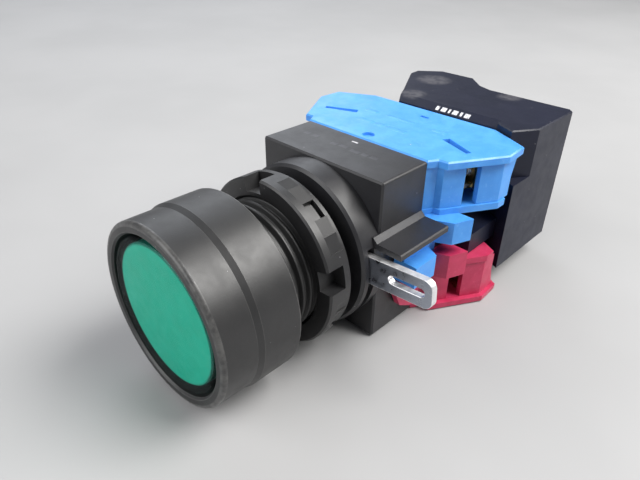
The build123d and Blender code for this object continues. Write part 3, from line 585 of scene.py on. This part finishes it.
# ------------------------------------------------------------------ bezel and barrel, one moulding, with a true helical thread
def make_bezel():
    lead = [
        (12.45, -13.1, 0.0),
    ]
    outer = [
        (12.45, -12.80, 0.10), (12.75, -13.10, 0.12), (14.25, -13.10, 0.70), (14.25, -7.48, 0.12), (14.60, -6.55, 0.12),
        (14.60, 0.0, 0.24), (13.60, 0.0, 0.10), (13.60, -1.0, 0.0), (11.40, -1.0, 0.0), (11.40, 0.0, 0.0), (10.95, 0.0, 0.0),
    ]
    tail = [
        (10.6, 17.3, 0.25), (7.4, 17.3, 0.15), (7.4, 15.3, 0.15), (9.3, 15.3, 0.0), (9.3, -1.6, 0.2), (12.45, -1.6, 0.2),
    ]
    rows, corner = round_loop(outer, 4)
    rows, corner = list(rows), list(corner)
    t0, t1, pitch = 1.2, 11.7, 1.5
    n = 118
    thread_from = len(rows)
    for i in range(n + 1):
        rows.append((10.95, t0 + (t1 - t0) * i / n)); corner.append(False)
    thread_to = len(rows)
    tl, tc = round_loop([(10.6, 11.9, 0.0)] + tail, 3)
    rows += tl; corner += tc

    def radius(r, y, a, i):
        if not thread_from <= i < thread_to:
            return r
        ph = ((y - 2.38) / pitch + (a - radians(60)) / (2 * pi)) % 1.0
        d = min(ph, 1 - ph) * pitch           # distance from the crest's middle
        crest, root_half = 0.17, 0.20
        flank = pitch / 2 - root_half - crest
        k = min(1.0, max(0.0, (d - crest) / flank))
        depth = 0.80 * k
        fade = min(1.0, (y - t0) / 0.7) if y < t0 + 0.7 else 1.0
        if y > t1 - 0.8:
            return 10.95 - depth - (0.35 + 0.0 * depth) * min(1.0, (y - (t1 - 0.8)) / 0.8) * (1 - k)
        return 10.95 - depth * fade

    bm = bmesh.new()
    # rounded corners take the paler edge finish: wear and a painted highlight along the ring edges
    revolve(bm, rows, 300, radius, lambda i: 1 if corner[i] and i < thread_from else (1 if thread_from <= i < thread_to and False else 0))
    o = finish_mesh(bm, "bezel_barrel_moulding", [M["bezel"], M["bezel_edge"]], 30)
    weighted(o)
    return stand_for(o, "bezel", "frame")


def make_lens():
    loop, corner = round_loop([
        (0.0, -12.9, 0.0), (12.2, -12.9, 1.0), (12.2, -8.4, 0.15), (11.4, -8.4, 0.15), (11.4, -12.44, 0.15), (0.0, -12.44, 0.0),
    ], 8)
    bm = bmesh.new()
    ys = [p for p in loop if p[0] > 0]
    grid = revolve(bm, ys, 200, None, 0, closed=False)
    top = bm.verts.new((0, -12.9 * MM, 0))
    low = bm.verts.new((0, -12.44 * MM, 0))
    for j in range(200):
        bm.faces.new((top, grid[0][(j + 1) % 200], grid[0][j]))
        bm.faces.new((low, grid[-1][j], grid[-1][(j + 1) % 200]))
    o = finish_mesh(bm, "lens_cover", [M["lens"]], 30)
    weighted(o)
    return stand_for(o, "lens_cap", "button")


# ------------------------------------------------------------------ screws with rolled threads and cross recesses
def screw(bm, origin, axis, shank_from, shank_to, head_from, head_to, head_r, shank_r=1.72, turn=0.3):
    """Adds one M3.5 screw. Distances are along axis from origin, in mm; the head's recess faces +axis."""
    before = set(bm.verts)
    steps = 48
    rows = []
    n = int((shank_to - shank_from) / 0.075)
    pitch = 0.6
    rows.append((0.6, shank_from - 0.0))
    for i in range(n + 1):
        rows.append((shank_r, shank_from + (head_from - shank_from) * i / n))
    m0, m1 = 1, 1 + n
    head, _ = round_loop([(head_r, head_from, 0.2), (head_r, head_to, 0.55), (head_r * 0.72, head_to, 0.0), (head_r * 0.2, head_to, 0.0)], 4)
    rows += [p for p in head[:-1]]

    def radius(r, y, a, i):
        if not m0 <= i <= m1:
            return r
        ph = ((y / pitch) + a / (2 * pi)) % 1.0
        d = abs(ph - 0.5) * 2
        k = min(1.0, max(0.0, (d - 0.12) / 0.7))
        end = min(1.0, max(0.0, (y - shank_from) / 0.5))
        return r * (0.82 + 0.18 * end) - 0.27 * k

    grid = revolve(bm, rows, steps, radius, 0, closed=False)
    tip = bm.verts.new((0, rows[0][1] * MM, 0))
    for j in range(steps):
        bm.faces.new((tip, grid[0][j], grid[0][(j + 1) % steps]))
    # recessed top, a polar field whose height falls inside the cross
    rings = 14
    last = grid[-1]
    r_last = rows[-1][0]
    for q in range(1, rings + 1):
        rr = r_last * (1 - q / (rings + 0.0))
        ring = []
        for j in range(steps):
            a = 2 * pi * j / steps
            x, z = rr * cos(a), rr * sin(a)
            c, s = cos(turn), sin(turn)
            u, v = abs(c * x + s * z), abs(-s * x + c * z)
            arm = min(u, v)
            long = max(u, v)
            wall = min(1.0, max(0.0, (0.46 - arm) / 0.12)) * min(1.0, max(0.0, (head_r * 0.80 - long) / 0.15))
            ring.append(bm.verts.new((x * MM, (head_to - 0.75 * wall) * MM, z * MM)) if q < rings else None)
        if q == rings:
            mid = bm.verts.new((0, (head_to - 0.75) * MM, 0))
            for j in range(steps):
                bm.faces.new((last[j], last[(j + 1) % steps], mid))
            break
        for j in range(steps):
            bm.faces.new((last[j], last[(j + 1) % steps], ring[(j + 1) % steps], ring[j]))
        last = ring
    d = Vector(axis).normalized()
    rot = Vector((0, 1, 0)).rotation_difference(d).to_matrix().to_4x4()
    new = [v for v in bm.verts if v not in before]
    bmesh.ops.transform(bm, matrix=Matrix.Translation(Vector(origin) * MM) @ rot, verts=new)


S30, C30 = 0.5, 3 ** 0.5 / 2


def term_point(u, v, side, z):
    return (side * (11.30 + u * S30 + v * C30), 33.25 + u * C30 - v * S30, z)


def make_screws():
    for block, flip in (("no", 1), ("nc", -1)):
        bm = bmesh.new()
        for side in (1, -1):
            o = term_point(0, -0.9, side, 10.5 * flip)
            screw(bm, o, (side * S30, C30, 0), 2.9, 9.8, 9.35, 11.35, 2.7, turn=0.35 * side + 0.2 * flip)
        obj = finish_mesh(bm, block + "_screw_pair", [M["screw"]], 30)
        stand_for(obj, block + "_terminal_screws", "frame")
    bm = bmesh.new()
    for z, t in ((9.0, 0.5), (-1.0, 1.1)):
        screw(bm, (-8.4, 0.0, z), (0, 1, 0), 62.2, 67.2, 67.0, 68.9, 2.6, turn=t)
    obj = finish_mesh(bm, "supply_screw_pair", [M["screw"]], 30)
    stand_for(obj, "supply_screws", "frame")


make_bezel()
make_lens()
make_screws()

spring("main_return_spring", "return_spring", "frame", 2.0, 15.3, 5.4, 8.35, 0.35)
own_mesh(bpy.data.objects["main_return_spring"])
for block, flip in (("no", 1), ("nc", -1)):
    s = spring(block + "_plunger_spring", block + "_return_spring", "frame", 40.0, 47.5, 6, 1.25, 0.2, 0, 9.75 * flip, 8, 24)
    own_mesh(s)
s = spring("no_bridge_spring", "no_contact_spring", "no_plunger", 33.6, 37.6, 3.2, 1.3, 0.18, 0, 9.75, 8, 24)
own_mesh(s)
spring("nc_bridge_spring", "nc_contact_spring", "nc_plunger", 35.2, 38.5, 3.0, 1.3, 0.18, 0, -9.75, 8, 24)


def make_lever():
    """The lever's own shape with its flat faces polished and its cut edges bright: bare cut metal, painted paler still
    as a highlight.
    """
    bm = bmesh.new()
    bm.from_mesh(nodes["locking_lever"].data)
    bmesh.ops.remove_doubles(bm, verts=bm.verts, dist=3e-6)
    bmesh.ops.recalc_face_normals(bm, faces=bm.faces)
    bm.normal_update()
    for f in bm.faces:
        f.material_index = 0 if abs(f.normal.y) > 0.9 else 1
    o = finish_mesh(bm, "locking_lever_plate", [M["zinc"], M["zinc_edge"]], 34)
    b = o.modifiers.new("rounded_edges", "BEVEL")
    b.limit_method = "ANGLE"
    b.angle_limit = radians(50)
    b.width = 0.07 * MM
    b.segments = 1
    b.material = 1
    b.use_clamp_overlap = True
    return stand_for(o, "locking_lever", "locking_lever")


# ------------------------------------------------------------------ nodes whose shape is right: rounded edges painted paler, as wear and as a painted highlight, and their own finish
refine("ring_nut", "ring_nut", M["nut"], M["nut_edge"], 0.16)
refine("adaptor_housing", "frame", M["adaptor"], M["adaptor_edge"], 0.26)
make_lever()
refine("no_housing", "frame", M["blue"], M["blue_edge"], 0.26)
refine("no_cover", "frame", M["blue"], M["blue_edge"], 0.22)
refine("nc_housing", "frame", M["red"], M["red_edge"], 0.26)
refine("nc_cover", "frame", M["red"], M["red_edge"], 0.22)
refine("transformer_case", "frame", M["case"], M["case_edge"], 0.26)
refine("transformer_base", "frame", M["case"], M["case_edge"], 0.22)
refine("panel_gasket", "frame", M["rubber"], M["rubber"], 0.12)
refine("button_plunger", "button", M["inner"], M["nut_edge"], 0.15)
refine("colour_filter", "button", M["green"], M["green"], 0.12)
for n in ("no", "nc"):
    refine(n + "_clamp_washers", "frame", M["nickel"], M["nickel"], 0.1)
    refine(n + "_fixed_contacts", "frame", M["brass"], M["brass"], 0.08)
    refine(n + "_plunger", n + "_plunger", M["white"], M["white"], 0.12)
    refine(n + "_bridge", n + "_bridge", M["silver"], M["silver"], 0.08)

for node, mat in {
    "diffuser_plate": "diffuser", "plunger_seal": "rubber", "transformer_core": "steel", "coil_bobbin": "inner",
    "transformer_coil": "copper", "lamp_socket": "inner", "lamp_base": "nickel", "lamp_globe": "lamp", "supply_terminals": "nickel",
}.items():
    me = nodes[node].data
    me.materials.clear()
    me.materials.append(M[mat])

# ------------------------------------------------------------------ floor, light and camera
def make_floor():
    k = Mat("studio_floor")
    k.set(Base_Color=k.mix(k.rng(k.noise(60.0, 3.0), 0.3, 0.7), (0.35, 0.35, 0.353), (0.375, 0.375, 0.378)), Roughness=0.7)
    bm = bmesh.new()
    size, z = 1.6, -14.73 * MM
    vs = [bm.verts.new((x * size, y * size, z)) for x, y in ((-1, -1), (1, -1), (1, 1), (-1, 1))]
    bm.faces.new(vs)
    o = finish_mesh(bm, "studio_floor", [k.m])


def area(name, at, to, size, power, colour=(1, 1, 1)):
    light = bpy.data.lights.new(name, "AREA")
    light.shape = "RECTANGLE"
    light.size, light.size_y = size
    light.energy = power
    light.color = colour
    o = bpy.data.objects.new(name, light)
    o.location = at
    o.rotation_euler = (Vector(to) - Vector(at)).to_track_quat("-Z", "Y").to_euler()
    scene.collection.objects.link(o)
    return o


make_floor()
target = (0.0, 0.028, 0.0)


def softbox(name, way, far, size, power, colour=(1, 1, 1)):
    at = Vector(target) + Vector(way).normalized() * far
    return area(name, at, target, size, power, colour)


softbox("key_right", (0.5, 0.38, 0.78), 0.6, (0.38, 0.38), 6.4, (1.0, 0.985, 0.96))
softbox("front_fill", (-0.25, -0.8, 0.55), 0.8, (0.8, 0.8), 6.2)
softbox("rear_left", (-0.69, 0.40, 0.60), 0.6, (0.42, 0.42), 1.4, (0.9, 0.94, 1.0))

world = bpy.data.worlds.new("studio")
world.use_nodes = True
world.node_tree.nodes["Background"].inputs[0].default_value = (0.93, 0.95, 1.0, 1)
world.node_tree.nodes["Background"].inputs[1].default_value = 0.18
scene.world = world
scene.view_settings.view_transform = "Standard"

cam = bpy.data.cameras.new("camera")
cam.sensor_width = 36.0
cam.lens = 554.0553 * 36.0 / 640.0
cam.clip_start = 0.002
cam.clip_end = 20.0
camera = bpy.data.objects.new("camera", cam)
right = Vector((0.7149898912945212, 0.6990521461193611, 0.010749528015893572))
down = Vector((0.37614383009246755, -0.371668068552281, -0.8487512391166132))
ahead = Vector((-0.5893261189104195, 0.6108919248316618, -0.5286830636075357))
rot = Matrix((right, -down, -ahead)).transposed().to_4x4()
camera.matrix_world = Matrix.Translation(Vector((56.68067613793666, -40.25656785890567, 49.759630861130674)) * MM) @ rot
scene.collection.objects.link(camera)
scene.camera = camera

bpy.context.view_layer.update()
